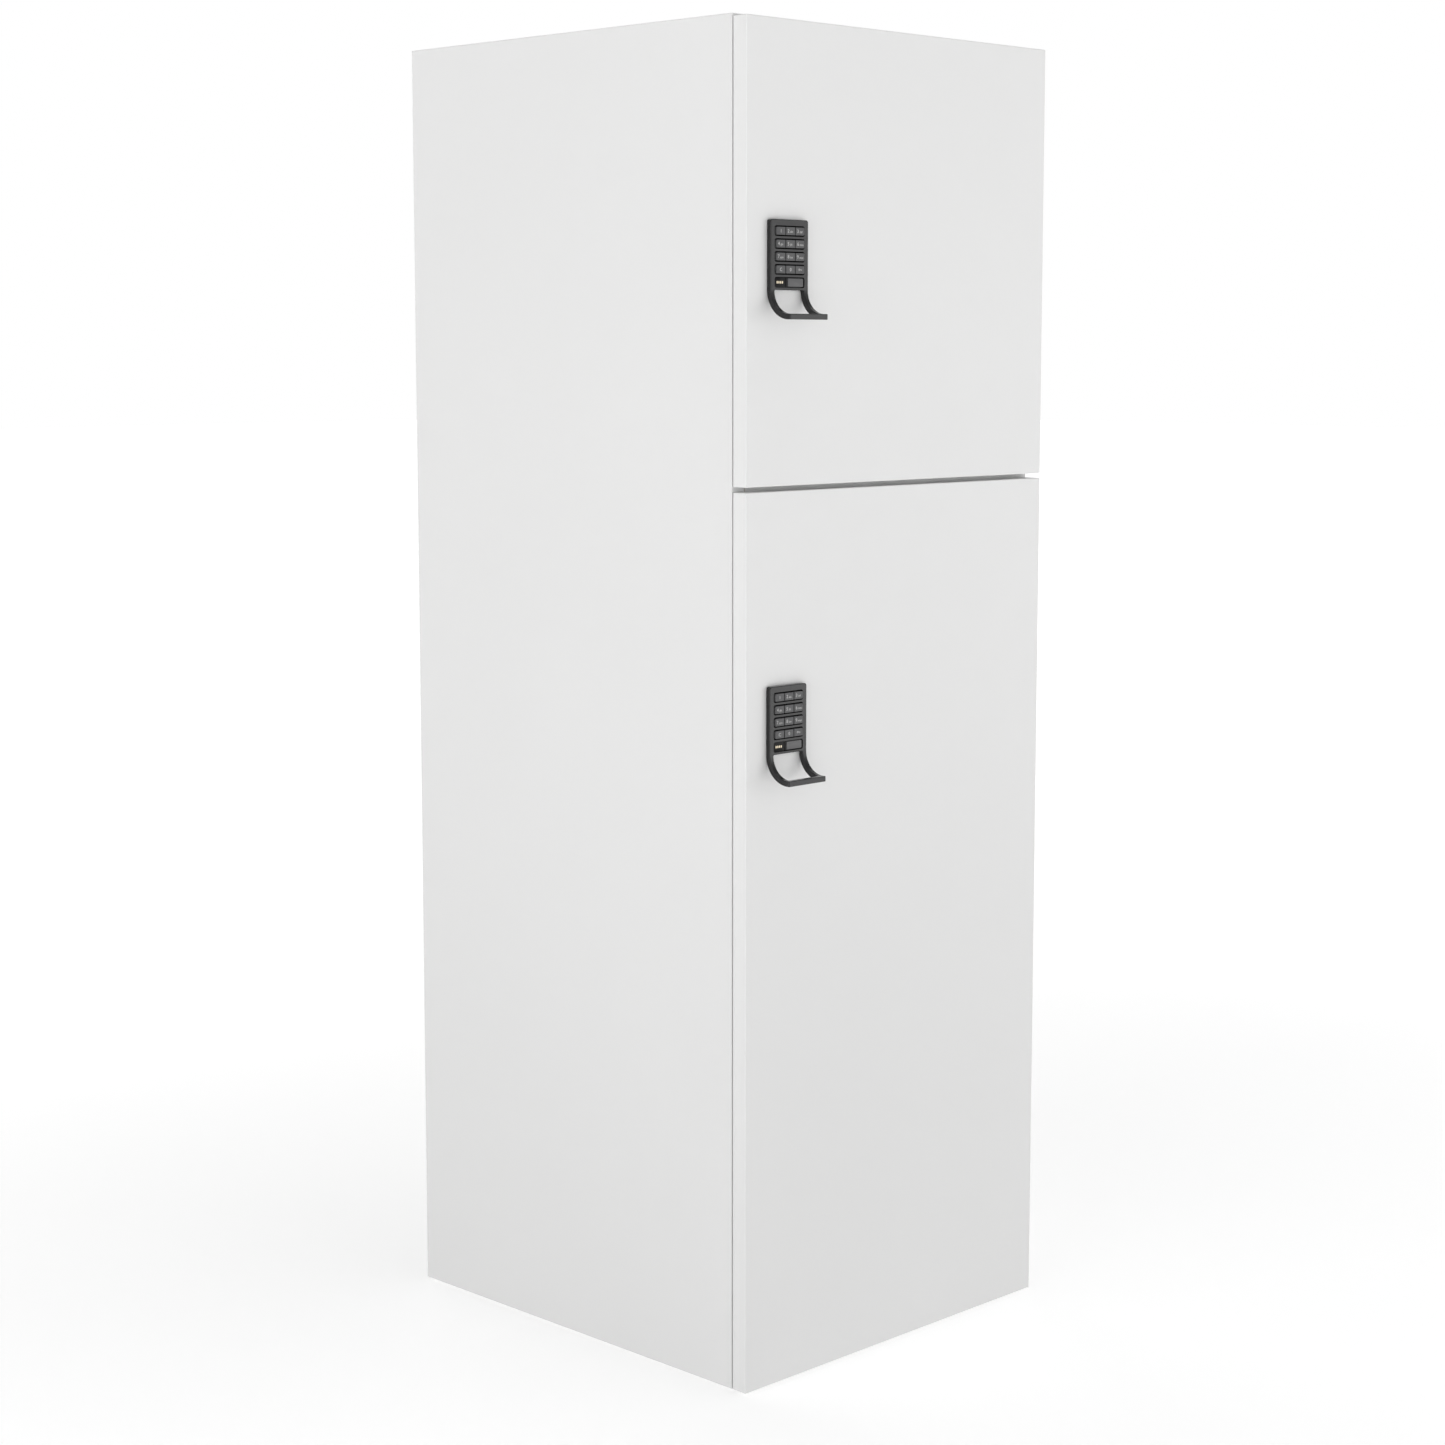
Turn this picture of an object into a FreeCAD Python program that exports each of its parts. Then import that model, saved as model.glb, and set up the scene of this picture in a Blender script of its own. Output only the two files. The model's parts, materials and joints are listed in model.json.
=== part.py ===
import FreeCAD, Part
import os
import math

# Two-door parcel locker: an 18 mm board carcass with two compartments, two
# full-overlay doors on concealed cup hinges, and one electronic keypad lock
# with an integral pull handle on each door.
#
# Frame: origin at the centre of the footprint, on the floor. +X to the right
# as seen from the front, +Y to the back, +Z up. The doors face -Y and are
# hinged on the right (+X). All sizes in millimetres.

V = FreeCAD.Vector
os.makedirs("parts", exist_ok=True)

# ---------------------------------------------------------------- dimensions
WIDTH = 450.0            # overall width, carcass and doors alike
CARCASS_D = 480.5        # carcass depth without the doors
DOOR_T = 18.0            # door board
DOOR_GAP = 1.5           # air between the carcass front and the door's back
BOARD = 18.0             # carcass board
BACK_T = 8.0             # back board
CARCASS_H = 1350.0       # carcass height
GLIDE_H = 4.0            # floor glides
SPLIT = 900.0            # middle of the door gap above the carcass underside
DOOR_SPLIT_GAP = 5.0     # gap between the two doors
TOP_REVEAL = 2.5         # carcass edge left free above the upper door
EDGE_R = 0.8             # rounding of board edges
DOOR_R = 1.0             # rounding of door edges

LOCK_U = 27.8            # door's left edge to the lock's left side
LOCK_W = 52.0            # lock width
LOCK_H = 95.4            # lock height, top to the underside of the pull
LOCK_P = 31.8            # how far the pull stands out from the door
PLATE_T = 5.5            # thickness of the lock's bent plate
PLATE_H = 67.2           # height of the keypad plate
BEND_R = 28.5            # outer radius of the pull's bend
RAIL_W = 5.2             # width of the two rails beside the finger opening
BAR_D = 5.6              # depth of the pull's front bar
UPPER_LOCK_TOP = 1158.0  # above the carcass underside
LOCK_PITCH = 450.0       # upper lock to lower lock
WIN_TOP = 5.9            # plate top to the first key window
WIN_H = 10.2             # height of a key window
WIN_PITCH = 12.2         # key window to key window
WIN_R = 2.3              # corner radius of a key window
KEY_GAP = 1.35           # window edge to key
KEY_SEP = 1.2            # key to key
KEY_PROUD = 1.3          # how far a key stands out of the plate
KEY_BASE = 3.0           # back of a key, from the door face
BOLT_TRAVEL = 9.0

# hinge geometry, in plan: s = distance inwards from the right outer side,
# n = distance forwards from the carcass front
PIN = (5.6, 11.0)        # the hinge's one pin, held by the cup
PIN_R = 1.25
KNUCKLE_R = 2.1          # rolled end of the arm's gooseneck, around the pin
NECK_W = 7.2             # half width of the gooseneck
NECK_T = 1.8             # thickness of the gooseneck
CUP_A = 21.5             # door edge to the cup's centre
CUP_R = 17.5
NOSE_S = 2.5             # door edge to the cup's nose
NOSE_W = 10.5            # half width of the nose
CUP_DEPTH = 12.7

# ------------------------------------------------------------ derived values
X0, X1 = -WIDTH / 2, WIDTH / 2
# footprint of the whole object, pull included, is centred on y = 0
DEPTH_ALL = CARCASS_D + DOOR_GAP + DOOR_T + LOCK_P
Y_BACK = round(DEPTH_ALL / 2, 1)                     # carcass back
Y_FRONT = Y_BACK - CARCASS_D                         # carcass front
Y_DB = Y_FRONT - DOOR_GAP                            # door back
Y_DF = Y_DB - DOOR_T                                 # door face
Z0 = GLIDE_H
Z1 = GLIDE_H + CARCASS_H
ZS = Z0 + SPLIT
XL, XR = X0 + BOARD, X1 - BOARD                      # inner faces
LX0 = X0 + LOCK_U
LX1 = LX0 + LOCK_W
LXC = (LX0 + LX1) / 2

UPPER_DOOR = (ZS + DOOR_SPLIT_GAP / 2, Z1 - TOP_REVEAL)
LOWER_DOOR = (Z0, ZS - DOOR_SPLIT_GAP / 2)
UPPER_LOCK = Z0 + UPPER_LOCK_TOP
LOWER_LOCK = UPPER_LOCK - LOCK_PITCH
UPPER_HINGES = [UPPER_DOOR[0] + 82.0, UPPER_DOOR[1] - 82.0]
LOWER_HINGES = [LOWER_DOOR[0] + 92.0, (LOWER_DOOR[0] + LOWER_DOOR[1]) / 2, LOWER_DOOR[1] - 92.0]
ALL_HINGES = LOWER_HINGES + UPPER_HINGES


# ------------------------------------------------------------------- helpers
def box(xa, xb, ya, yb, za, zb):
    return Part.makeBox(xb - xa, yb - ya, zb - za, V(xa, ya, za))


def cyl(r, a, b):
    a, b = V(*a), V(*b)
    d = b - a
    return Part.makeCylinder(r, d.Length, a, d)


def along(shape, axis):
    """Straight edges of a shape that run along an axis ('x', 'y' or 'z')."""
    k = "xyz".index(axis)
    out = []
    for e in shape.Edges:
        if len(e.Vertexes) != 2:
            continue
        p, q = e.Vertexes[0].Point, e.Vertexes[1].Point
        d = [abs(q.x - p.x), abs(q.y - p.y), abs(q.z - p.z)]
        if d[k] > 1e-6 and sum(d) - d[k] < 1e-6:
            out.append(e)
    return out


def rounded(shape, r, edges=None):
    try:
        s = shape.makeFillet(r, edges if edges is not None else shape.Edges)
        if s.isValid() and s.Volume > 0:
            return s
    except Exception:
        pass
    print("fillet skipped, r =", r)
    return shape


def cut_all(shape, tools):
    for t in tools:
        shape = shape.cut(t)
    return shape


def fuse_all(shapes):
    s = shapes[0]
    for t in shapes[1:]:
        s = s.fuse(t)
    return s.removeSplitter()


def solids(shape):
    return list(shape.Solids)


def save(name, shapes):
    if not isinstance(shapes, (list, tuple)):
        shapes = [shapes]
    out = []
    for s in shapes:
        out += solids(s)
    for s in out:
        if not s.isValid():
            print("INVALID", name)
    shape = out[0] if len(out) == 1 else Part.makeCompound(out)
    shape.exportStep("parts/%s.step" % name)
    print("%-24s solids %3d  volume %12.1f" % (name, len(out), sum(s.Volume for s in out)))


def sx(s):
    return X1 - s


def ny(n):
    return Y_FRONT - n


# ------------------------------------------------------------------- carcass
def side_panel(left):
    xa, xb = (X0, XL) if left else (XR, X1)
    p = rounded(box(xa, xb, Y_FRONT, Y_BACK, Z0, Z1), EDGE_R)
    # rebate for the back board
    ra, rb = (X0 + 9.0, XL + 1.0) if left else (XR - 1.0, X1 - 9.0)
    tools = [box(ra, rb, Y_BACK - BACK_T, Y_BACK + 1.0, Z0 - 1.0, Z1 + 1.0)]
    # pilot holes of the carcass fittings
    xi = XL if left else XR
    sgn = -1.0 if left else 1.0
    for z in (Z0 + 9.0, ZS, Z1 - 9.0):
        for y in FIT_Y:
            tools.append(cyl(2.6, (xi - sgn * 1.0, y, z), (xi + sgn * 11.0, y, z)))
    # back board screws in the rebate's shoulder
    xs = X0 + 12.5 if left else X1 - 12.5
    for z in BACK_SIDE_Z:
        tools.append(cyl(1.3, (xs, Y_BACK - BACK_T - 16.0, z), (xs, Y_BACK, z)))
    if left:
        for zb in (UPPER_LOCK - 20.0, LOWER_LOCK - 20.0):
            for dz in (-11.0, 11.0):
                tools.append(cyl(1.95, (XL + 1.0, STRIKE_SCREW_Y, zb + dz), (XL - 12.5, STRIKE_SCREW_Y, zb + dz)))
    else:
        for zh in ALL_HINGES:
            for dz in (-16.0, 16.0):
                tools.append(cyl(3.05, (XR - 1.0, ny(-37.0), zh + dz), (XR + 11.5, ny(-37.0), zh + dz)))
    return cut_all(p, tools)


FIT_Y = (Y_FRONT + 60.0, Y_BACK - 70.0)
BACK_SIDE_Z = (Z0 + 180.0, Z0 + 560.0, Z0 + 790.0, Z0 + 1180.0)
BACK_X = (-150.0, 0.0, 150.0)
BACK_Z = (Z0 + 9.0, ZS, Z1 - 9.0)
STRIKE_SCREW_Y = Y_FRONT + 22.0
CAM_R, CAM_T, CAM_X = 7.45, 12.6, 34.0


def shelf_panel(zmid):
    z0, z1 = zmid - BOARD / 2, zmid + BOARD / 2
    p = box(XL, XR, Y_FRONT, Y_BACK - BACK_T, z0, z1)
    p = rounded(p, EDGE_R, [e for e in along(p, "x") if abs(e.Vertexes[0].Y - Y_FRONT) < 1e-6])
    tools = []
    for sgn, xi in ((-1.0, XL), (1.0, XR)):
        for y in FIT_Y:
            xc = xi - sgn * CAM_X
            tools.append(cyl(CAM_R + 0.08, (xc, y, z0 - 1.0), (xc, y, z0 + CAM_T + 0.1)))
            tools.append(cyl(3.6, (xi + sgn * 1.0, y, zmid), (xc, y, zmid)))
    for x in BACK_X:
        tools.append(cyl(1.3, (x, Y_BACK - BACK_T - 16.0, zmid), (x, Y_BACK, zmid)))
    return cut_all(p, tools)


def fittings():
    out = []
    for zmid in (Z0 + 9.0, ZS, Z1 - 9.0):
        z0 = zmid - BOARD / 2
        for sgn, xi in ((-1.0, XL), (1.0, XR)):
            for y in FIT_Y:
                xc = xi - sgn * CAM_X
                cam = cyl(CAM_R, (xc, y, z0 + 0.3), (xc, y, z0 + CAM_T))
                # opening for the bolt's head, on the side towards the end face
                a, b = sorted((xc - sgn * 2.5, xc + sgn * 9.0))
                cam = cam.cut(box(a, b, y - 3.4, y + 3.4, zmid - 3.4, z0 + CAM_T + 1.0))
                # cross recess of the driver
                cam = cam.cut(box(xc - 3.2, xc + 3.2, y - 0.6, y + 0.6, z0, z0 + 2.3))
                cam = cam.cut(box(xc - 0.6, xc + 0.6, y - 3.2, y + 3.2, z0, z0 + 2.3))
                out.append(cam)
                # connecting bolt, screwed into the side panel
                head = xc - sgn * 1.6
                bolt = cyl(2.5, (xi + sgn * 10.5, y, zmid), (xi, y, zmid)).fuse(
                    cyl(3.3, (xi, y, zmid), (xi - sgn * 2.0, y, zmid))).fuse(
                    cyl(1.6, (xi - sgn * 2.0, y, zmid), (head, y, zmid))).fuse(
                    cyl(2.7, (head + sgn * 2.4, y, zmid), (head, y, zmid)))
                out.append(bolt)
    return out


def back_panel():
    p = box(X0 + 9.2, X1 - 9.2, Y_BACK - BACK_T, Y_BACK, Z0 + 1.0, Z1 - 1.0)
    p = rounded(p, 0.5)
    tools = []
    for x, z in BACK_SCREWS:
        tools.append(cyl(1.75, (x, Y_BACK - BACK_T - 1.0, z), (x, Y_BACK + 1.0, z)))
        tools.append(Part.makeCone(1.75, 3.6, 2.0, V(x, Y_BACK - 2.0, z), V(0, 1, 0)))
    return cut_all(p, tools)


BACK_SCREWS = [(x, z) for z in BACK_Z for x in BACK_X] + \
    [(sgn * (X1 - 12.5), z) for z in BACK_SIDE_Z for sgn in (-1.0, 1.0)]


def wood_screw(head, tip, r, rh, hh):
    """Screw whose head face is at head, pointing to tip: shank, cone head and recess."""
    a, b = V(*head), V(*tip)
    d = (b - a).normalize()
    s = Part.makeCone(rh, r, hh, a, d).fuse(Part.makeCylinder(r, (b - a).Length - 1.6, a, d))
    s = s.fuse(Part.makeCone(r, 0.25, 1.6, b - d * 1.6, d))
    rec = Part.makeBox(2.6, 0.6, 1.2, V(-1.3, -0.3, 0)).fuse(Part.makeBox(0.6, 2.6, 1.2, V(-0.3, -1.3, 0)))
    rec.Placement = FreeCAD.Placement(a - d * 0.05, FreeCAD.Rotation(V(0, 0, 1), d))
    return s.cut(rec).removeSplitter()


def pan_screw(seat, d, r, length, rh, hh):
    """Screw with a domed head that sits on seat; d points along the shank."""
    a, d = V(*seat), V(*d)
    head = Part.makeCylinder(rh, hh, a - d * hh, d)
    top = [e for e in head.Edges if e.Closed and abs((e.CenterOfMass - (a - d * hh)).Length) < 1e-3]
    head = rounded(head, hh * 0.45, top)
    s = head.fuse(Part.makeCylinder(r, length - 1.5, a, d)).fuse(Part.makeCone(r, 0.4, 1.5, a + d * (length - 1.5), d))
    rec = Part.makeBox(rh * 1.0, 0.7, 1.3, V(-rh * 0.5, -0.35, 0)).fuse(
        Part.makeBox(0.7, rh * 1.0, 1.3, V(-0.35, -rh * 0.5, 0)))
    rec.Placement = FreeCAD.Placement(a - d * (hh + 0.05), FreeCAD.Rotation(V(0, 0, 1), d))
    return s.cut(rec).removeSplitter()


def glides():
    out = []
    for x in (-190.0, 190.0):
        for y in GLIDE_Y:
            g = cyl(14.0, (x, y, 0), (x, y, GLIDE_H))
            g = rounded(g, 1.2, [e for e in g.Edges if e.Closed and abs(e.CenterOfMass.z) < 1e-6])
            out.append(g.fuse(cyl(1.5, (x, y, GLIDE_H), (x, y, GLIDE_H + 11.0))).removeSplitter())
    return out


GLIDE_Y = (Y_FRONT + 34.0, Y_BACK - 36.0)


def glide_holes():
    return [cyl(1.55, (x, y, Z0 - 1.0), (x, y, GLIDE_H + 11.5)) for x in (-190.0, 190.0) for y in GLIDE_Y]


# -------------------------------------------------------------------- hinges
def extrude_plan(points, z0, z1):
    """Prism over a polygon given in (s, n)."""
    pts = [V(sx(s), ny(n), z0) for s, n in points]
    return Part.Face(Part.makePolygon(pts + [pts[0]])).extrude(V(0, 0, z1 - z0))


def mounting_plate(zh):
    wing = box(sx(20.0), sx(18.0), ny(-27.0), ny(-47.0), zh - 24.0, zh + 24.0)
    wing = rounded(wing, 4.0, along(wing, "x"))
    spine = box(sx(25.2), sx(18.0), ny(-20.0), ny(-61.0), zh - 6.0, zh + 6.0)
    spine = rounded(spine, 1.0, along(spine, "y"))
    p = wing.fuse(spine)
    for dz in (-16.0, 16.0):
        p = p.cut(cyl(3.1, (sx(17.0), ny(-37.0), zh + dz), (sx(21.0), ny(-37.0), zh + dz)))
    for n in ARM_SCREW_N:
        p = p.cut(cyl(2.05, (sx(19.2), ny(n), zh), (sx(26.0), ny(n), zh)))
    return p.removeSplitter()


ARM_SCREW_N = (-52.0, -30.0)


NECK_PATH = [(5.6, 11.0), (10.2, 11.4), (14.6, 11.1), (18.3, 9.2), (20.5, 5.6), (21.3, 1.0),
             (22.3, -4.0), (24.6, -8.6), (26.2, -12.5), (26.2, -17.0)]


def hinge_arm(zh):
    # channel-shaped arm on the mounting plate, with a pressed gooseneck that
    # reaches round the side panel's front edge into the cup
    top = box(sx(27.0), sx(25.4), ny(-11.0), ny(-60.0), zh - 9.4, zh + 9.4)
    cheek = [(20.8, -59.0), (27.0, -60.0), (27.0, -11.0), (24.8, -11.0), (22.4, -16.0), (20.8, -24.0)]
    parts = [top]
    for za, zb in ((zh - 9.4, zh - 7.6), (zh + 7.6, zh + 9.4)):
        parts.append(extrude_plan(cheek, za, zb))
    a = fuse_all(parts)
    for n in ARM_SCREW_N:
        a = a.cut(cyl(2.1, (sx(24.0), ny(n), zh), (sx(28.0), ny(n), zh)))
    curve = Part.BSplineCurve()
    curve.interpolate([V(s, n, 0) for s, n in NECK_PATH])
    n_pts = 24
    f, l = curve.FirstParameter, curve.LastParameter
    up, dn = [], []
    for i in range(n_pts + 1):
        u = f + (l - f) * i / n_pts
        p, t = curve.value(u), curve.tangent(u)
        t = t[0] if isinstance(t, tuple) else t
        nrm = V(-t.y, t.x, 0).normalize()
        up.append(p + nrm * (NECK_T / 2))
        dn.append(p - nrm * (NECK_T / 2))

    def to_world(p):
        return V(sx(p.x), ny(p.y), zh - NECK_W)
    e1, e2 = Part.BSplineCurve(), Part.BSplineCurve()
    e1.interpolate([to_world(p) for p in up])
    e2.interpolate([to_world(p) for p in dn])
    wire = Part.Wire([e1.toShape(), Part.makeLine(to_world(up[-1]), to_world(dn[-1])),
                      e2.toShape(), Part.makeLine(to_world(dn[0]), to_world(up[0]))])
    neck = Part.Face(wire).extrude(V(0, 0, 2 * NECK_W))
    knuckle = cyl(KNUCKLE_R, (sx(PIN[0]), ny(PIN[1]), zh - NECK_W), (sx(PIN[0]), ny(PIN[1]), zh + NECK_W))
    neck = neck.fuse(knuckle)
    neck = neck.cut(cyl(PIN_R + 0.03, (sx(PIN[0]), ny(PIN[1]), zh - 12), (sx(PIN[0]), ny(PIN[1]), zh + 12)))
    return a.fuse(neck).removeSplitter()


def hinge_pins(zh):
    p = cyl(PIN_R, (sx(PIN[0]), ny(PIN[1]), zh - NOSE_W + 0.6), (sx(PIN[0]), ny(PIN[1]), zh + NOSE_W - 0.6))
    return [rounded(p, 0.25, [e for e in p.Edges if e.Closed])]


def hinge_cup(zh):
    xc = sx(CUP_A)
    yb = Y_DB                                   # mouth, flush with the door's back
    nose = box(xc, sx(NOSE_S), yb - CUP_DEPTH, yb, zh - NOSE_W, zh + NOSE_W)
    nose = rounded(nose, 1.5, [e for e in along(nose, "y") if e.Vertexes[0].X > xc + 5])
    cup = cyl(CUP_R, (xc, yb, zh), (xc, yb - CUP_DEPTH, zh)).fuse(nose)
    flange = box(sx(CUP_A + 13.0), sx(CUP_A - 6.0), yb - 1.2, yb, zh - 31.0, zh + 31.0)
    flange = rounded(flange, 5.0, along(flange, "y"))
    cup = cup.fuse(flange)
    yi = yb - CUP_DEPTH + 0.8
    cup = cup.cut(cyl(CUP_R - 1.0, (xc, yb + 1.0, zh), (xc, yi, zh)))
    cup = cup.cut(box(xc, sx(NOSE_S + 0.7), yi, yb + 1.0, zh - NECK_W - 0.5, zh + NECK_W + 0.5))
    cup = cup.cut(cyl(PIN_R + 0.01, (sx(PIN[0]), ny(PIN[1]), zh - NOSE_W + 0.5), (sx(PIN[0]), ny(PIN[1]), zh + NOSE_W - 0.5)))
    for dz in (-24.0, 24.0):
        cup = cup.cut(Part.makeCone(3.3, 1.75, 2.2, V(sx(CUP_A + 6.0), yb, zh + dz), V(0, -1, 0)))
    return cup.removeSplitter()


def cup_pocket(zh):
    xc, yb = sx(CUP_A), Y_DB
    pocket = cyl(CUP_R + 0.06, (xc, yb + 1.0, zh), (xc, yb - CUP_DEPTH - 0.1, zh))
    nose = box(xc, sx(NOSE_S - 0.06), yb - CUP_DEPTH - 0.1, yb + 1.0, zh - NOSE_W - 0.06, zh + NOSE_W + 0.06)
    nose = rounded(nose, 1.5, [e for e in along(nose, "y") if e.Vertexes[0].X > xc + 5])
    fl = box(sx(CUP_A + 13.1), sx(CUP_A - 6.1), yb - 1.25, yb + 1.0, zh - 31.1, zh + 31.1)
    fl = rounded(fl, 5.1, along(fl, "y"))
    tools = [pocket, nose, fl]
    for dz in (-24.0, 24.0):
        tools.append(Part.makeCone(3.35, 1.7, 2.35, V(sx(CUP_A + 6.0), yb, zh + dz), V(0, -1, 0)))
        tools.append(cyl(1.7, (sx(CUP_A + 6.0), yb, zh + dz), (sx(CUP_A + 6.0), yb - 13.0, zh + dz)))
    return tools


def cup_screws(zh):
    return [wood_screw((sx(CUP_A + 6.0), Y_DB - 0.1, zh + dz), (sx(CUP_A + 6.0), Y_DB - 12.6, zh + dz), 1.6, 3.1, 1.95)
            for dz in (-24.0, 24.0)]


def strike(zb):
    base = box(XL, XL + 1.5, Y_FRONT + 1.5, Y_FRONT + 31.5, zb - 18.0, zb + 18.0)
    base = rounded(base, 3.0, [e for e in along(base, "x") if e.Vertexes[0].Y > Y_FRONT + 10])
    lip = box(XL, XL + 7.5, Y_FRONT + 1.5, Y_FRONT + 3.5, zb - 12.0, zb + 12.0)
    lip = rounded(lip, 1.5, [e for e in along(lip, "y") if e.Vertexes[0].X > XL + 5])
    s = base.fuse(lip)
    for dz in (-11.0, 11.0):
        s = s.cut(cyl(2.05, (XL - 1.0, STRIKE_SCREW_Y, zb + dz), (XL + 3.0, STRIKE_SCREW_Y, zb + dz)))
    return s.removeSplitter()


# --------------------------------------------------------------------- locks
def wy(w):
    return Y_DF - w


HANDLE_SCREWS = [(LX0 + 2.45, 9.0), (LX1 - 2.45, 9.0), (LX0 + 2.45, 60.0), (LX1 - 2.45, 60.0)]
CASE_X0, CASE_X1 = LX0 + 1.2, LX1 - 0.8
CASE_D = 24.0
CASE_SCREW_H = (-0.4, 107.3)


def lock_handle(zt):
    # bent plate: profile in (w, h), w out of the door, h down from the top
    R, T, H, P = BEND_R, PLATE_T, LOCK_H, LOCK_P
    Ri = R - T

    def pt(w, h):
        return V(LX0, wy(w), zt - h)
    c = (R, H - R)
    k = math.sqrt(0.5)
    e = [Part.makeLine(pt(0, 0), pt(0, H - R)),
         Part.Arc(pt(0, H - R), pt(c[0] - R * k, c[1] + R * k), pt(R, H)).toShape(),
         Part.makeLine(pt(R, H), pt(P, H)),
         Part.makeLine(pt(P, H), pt(P, H - T)),
         Part.makeLine(pt(P, H - T), pt(R, H - T)),
         Part.Arc(pt(R, H - T), pt(c[0] - Ri * k, c[1] + Ri * k), pt(T, H - R)).toShape(),
         Part.makeLine(pt(T, H - R), pt(T, 0)),
         Part.makeLine(pt(T, 0), pt(0, 0))]
    s = Part.Face(Part.Wire(e)).extrude(V(LOCK_W, 0, 0))
    # rounded top corners
    s = rounded(s, 2.6, [q for q in along(s, "y") if abs(q.Vertexes[0].Z - zt) < 1e-6])
    # finger opening, from under the plate round the bend to the front bar
    op = box(LX0 + RAIL_W, LX1 - RAIL_W, wy(P - BAR_D), wy(-3.0), zt - H - 5.0, zt - PLATE_H)
    op = rounded(op, 1.6, [q for q in along(op, "y") if q.Vertexes[0].Z > zt - PLATE_H - 1])
    s = s.cut(op).removeSplitter()
    s = rounded(s, 0.7, outer_edges(s, zt))
    # five key windows
    for i in range(5):
        h0 = WIN_TOP + i * WIN_PITCH
        w = box(LX0 + RAIL_W, LX1 - RAIL_W, wy(PLATE_T + 1), wy(-1), zt - h0 - WIN_H, zt - h0)
        s = s.cut(rounded(w, WIN_R, along(w, "y")))
    # pocket for the keypad mat, and blind screw holes in the back
    s = s.cut(box(LX0 + 4.9, LX1 - 4.9, wy(2.0), wy(-1), zt - 65.4, zt - 5.2))
    for x, h in HANDLE_SCREWS:
        s = s.cut(cyl(1.3, (x, wy(-1), zt - h), (x, wy(4.2), zt - h)))
    return s.removeSplitter()


def outer_edges(s, zt):
    """Edges of the lock's outline that are rounded: all but those on the door face."""
    out = []
    for e in s.Edges:
        if all(abs(v.Y - Y_DF) < 1e-6 for v in e.Vertexes):
            continue
        if len(e.Vertexes) < 2:
            continue
        b = e.BoundBox
        # keep only edges on the two outer sides, the front bar, the top and the opening
        if b.YMax - b.YMin > 2.0 and abs(b.ZMax - b.ZMin) < 1e-6 and b.ZMin > zt - PLATE_H - 1:
            continue
        out.append(e)
    return out


def key_columns():
    xa, xb = LX0 + RAIL_W + KEY_GAP, LX1 - RAIL_W - KEY_GAP
    w = (xb - xa - 2 * KEY_SEP) / 3
    return [(xa + i * (w + KEY_SEP), xa + i * (w + KEY_SEP) + w) for i in range(3)]


def key_cap(zt, row, col):
    xa, xb = key_columns()[col]
    h0 = WIN_TOP + row * WIN_PITCH + KEY_GAP
    za, zb = zt - h0 - (WIN_H - 2 * KEY_GAP), zt - h0
    k = box(xa, xb, wy(PLATE_T + KEY_PROUD), wy(KEY_BASE), za, zb)
    vert = along(k, "y")
    if col == 0:
        outer = [e for e in vert if abs(e.Vertexes[0].X - xa) < 1e-6]
    elif col == 2:
        outer = [e for e in vert if abs(e.Vertexes[0].X - xb) < 1e-6]
    else:
        outer = []
    if outer:
        k = rounded(k, 1.3, outer)
    inner = [e for e in along(k, "y") if e.Length > 3.0 and not any(
        abs(e.Vertexes[0].X - f.Vertexes[0].X) < 1.4 and abs(e.Vertexes[0].Z - f.Vertexes[0].Z) < 1.4 for f in outer)]
    k = rounded(k, 0.35, inner)
    front = [e for e in k.Edges if all(abs(v.Y - wy(PLATE_T + KEY_PROUD)) < 1e-6 for v in e.Vertexes)]
    return rounded(k, 0.3, front)


def keypad_mat(zt):
    m = box(LX0 + 5.1, LX1 - 5.1, wy(1.8), wy(0.7), zt - 65.2, zt - 5.4)
    m = rounded(m, 1.0, along(m, "y"))
    for row in range(4):
        for xa, xb in key_columns():
            zc = zt - WIN_TOP - row * WIN_PITCH - WIN_H / 2
            m = m.fuse(cyl(2.2, ((xa + xb) / 2, wy(1.0), zc), ((xa + xb) / 2, wy(2.05), zc)))
    return m.removeSplitter()


def display_window(zt):
    h0 = WIN_TOP + 4 * WIN_PITCH
    d = box(LX0 + RAIL_W + 0.15, LX1 - RAIL_W - 0.15, wy(PLATE_T - 0.4), wy(1.9),
            zt - h0 - WIN_H + 0.15, zt - h0 - 0.15)
    d = rounded(d, WIN_R - 0.15, along(d, "y"))
    front = [e for e in d.Edges if all(abs(v.Y - wy(PLATE_T - 0.4)) < 1e-6 for v in e.Vertexes)]
    return rounded(d, 0.25, front)


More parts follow.
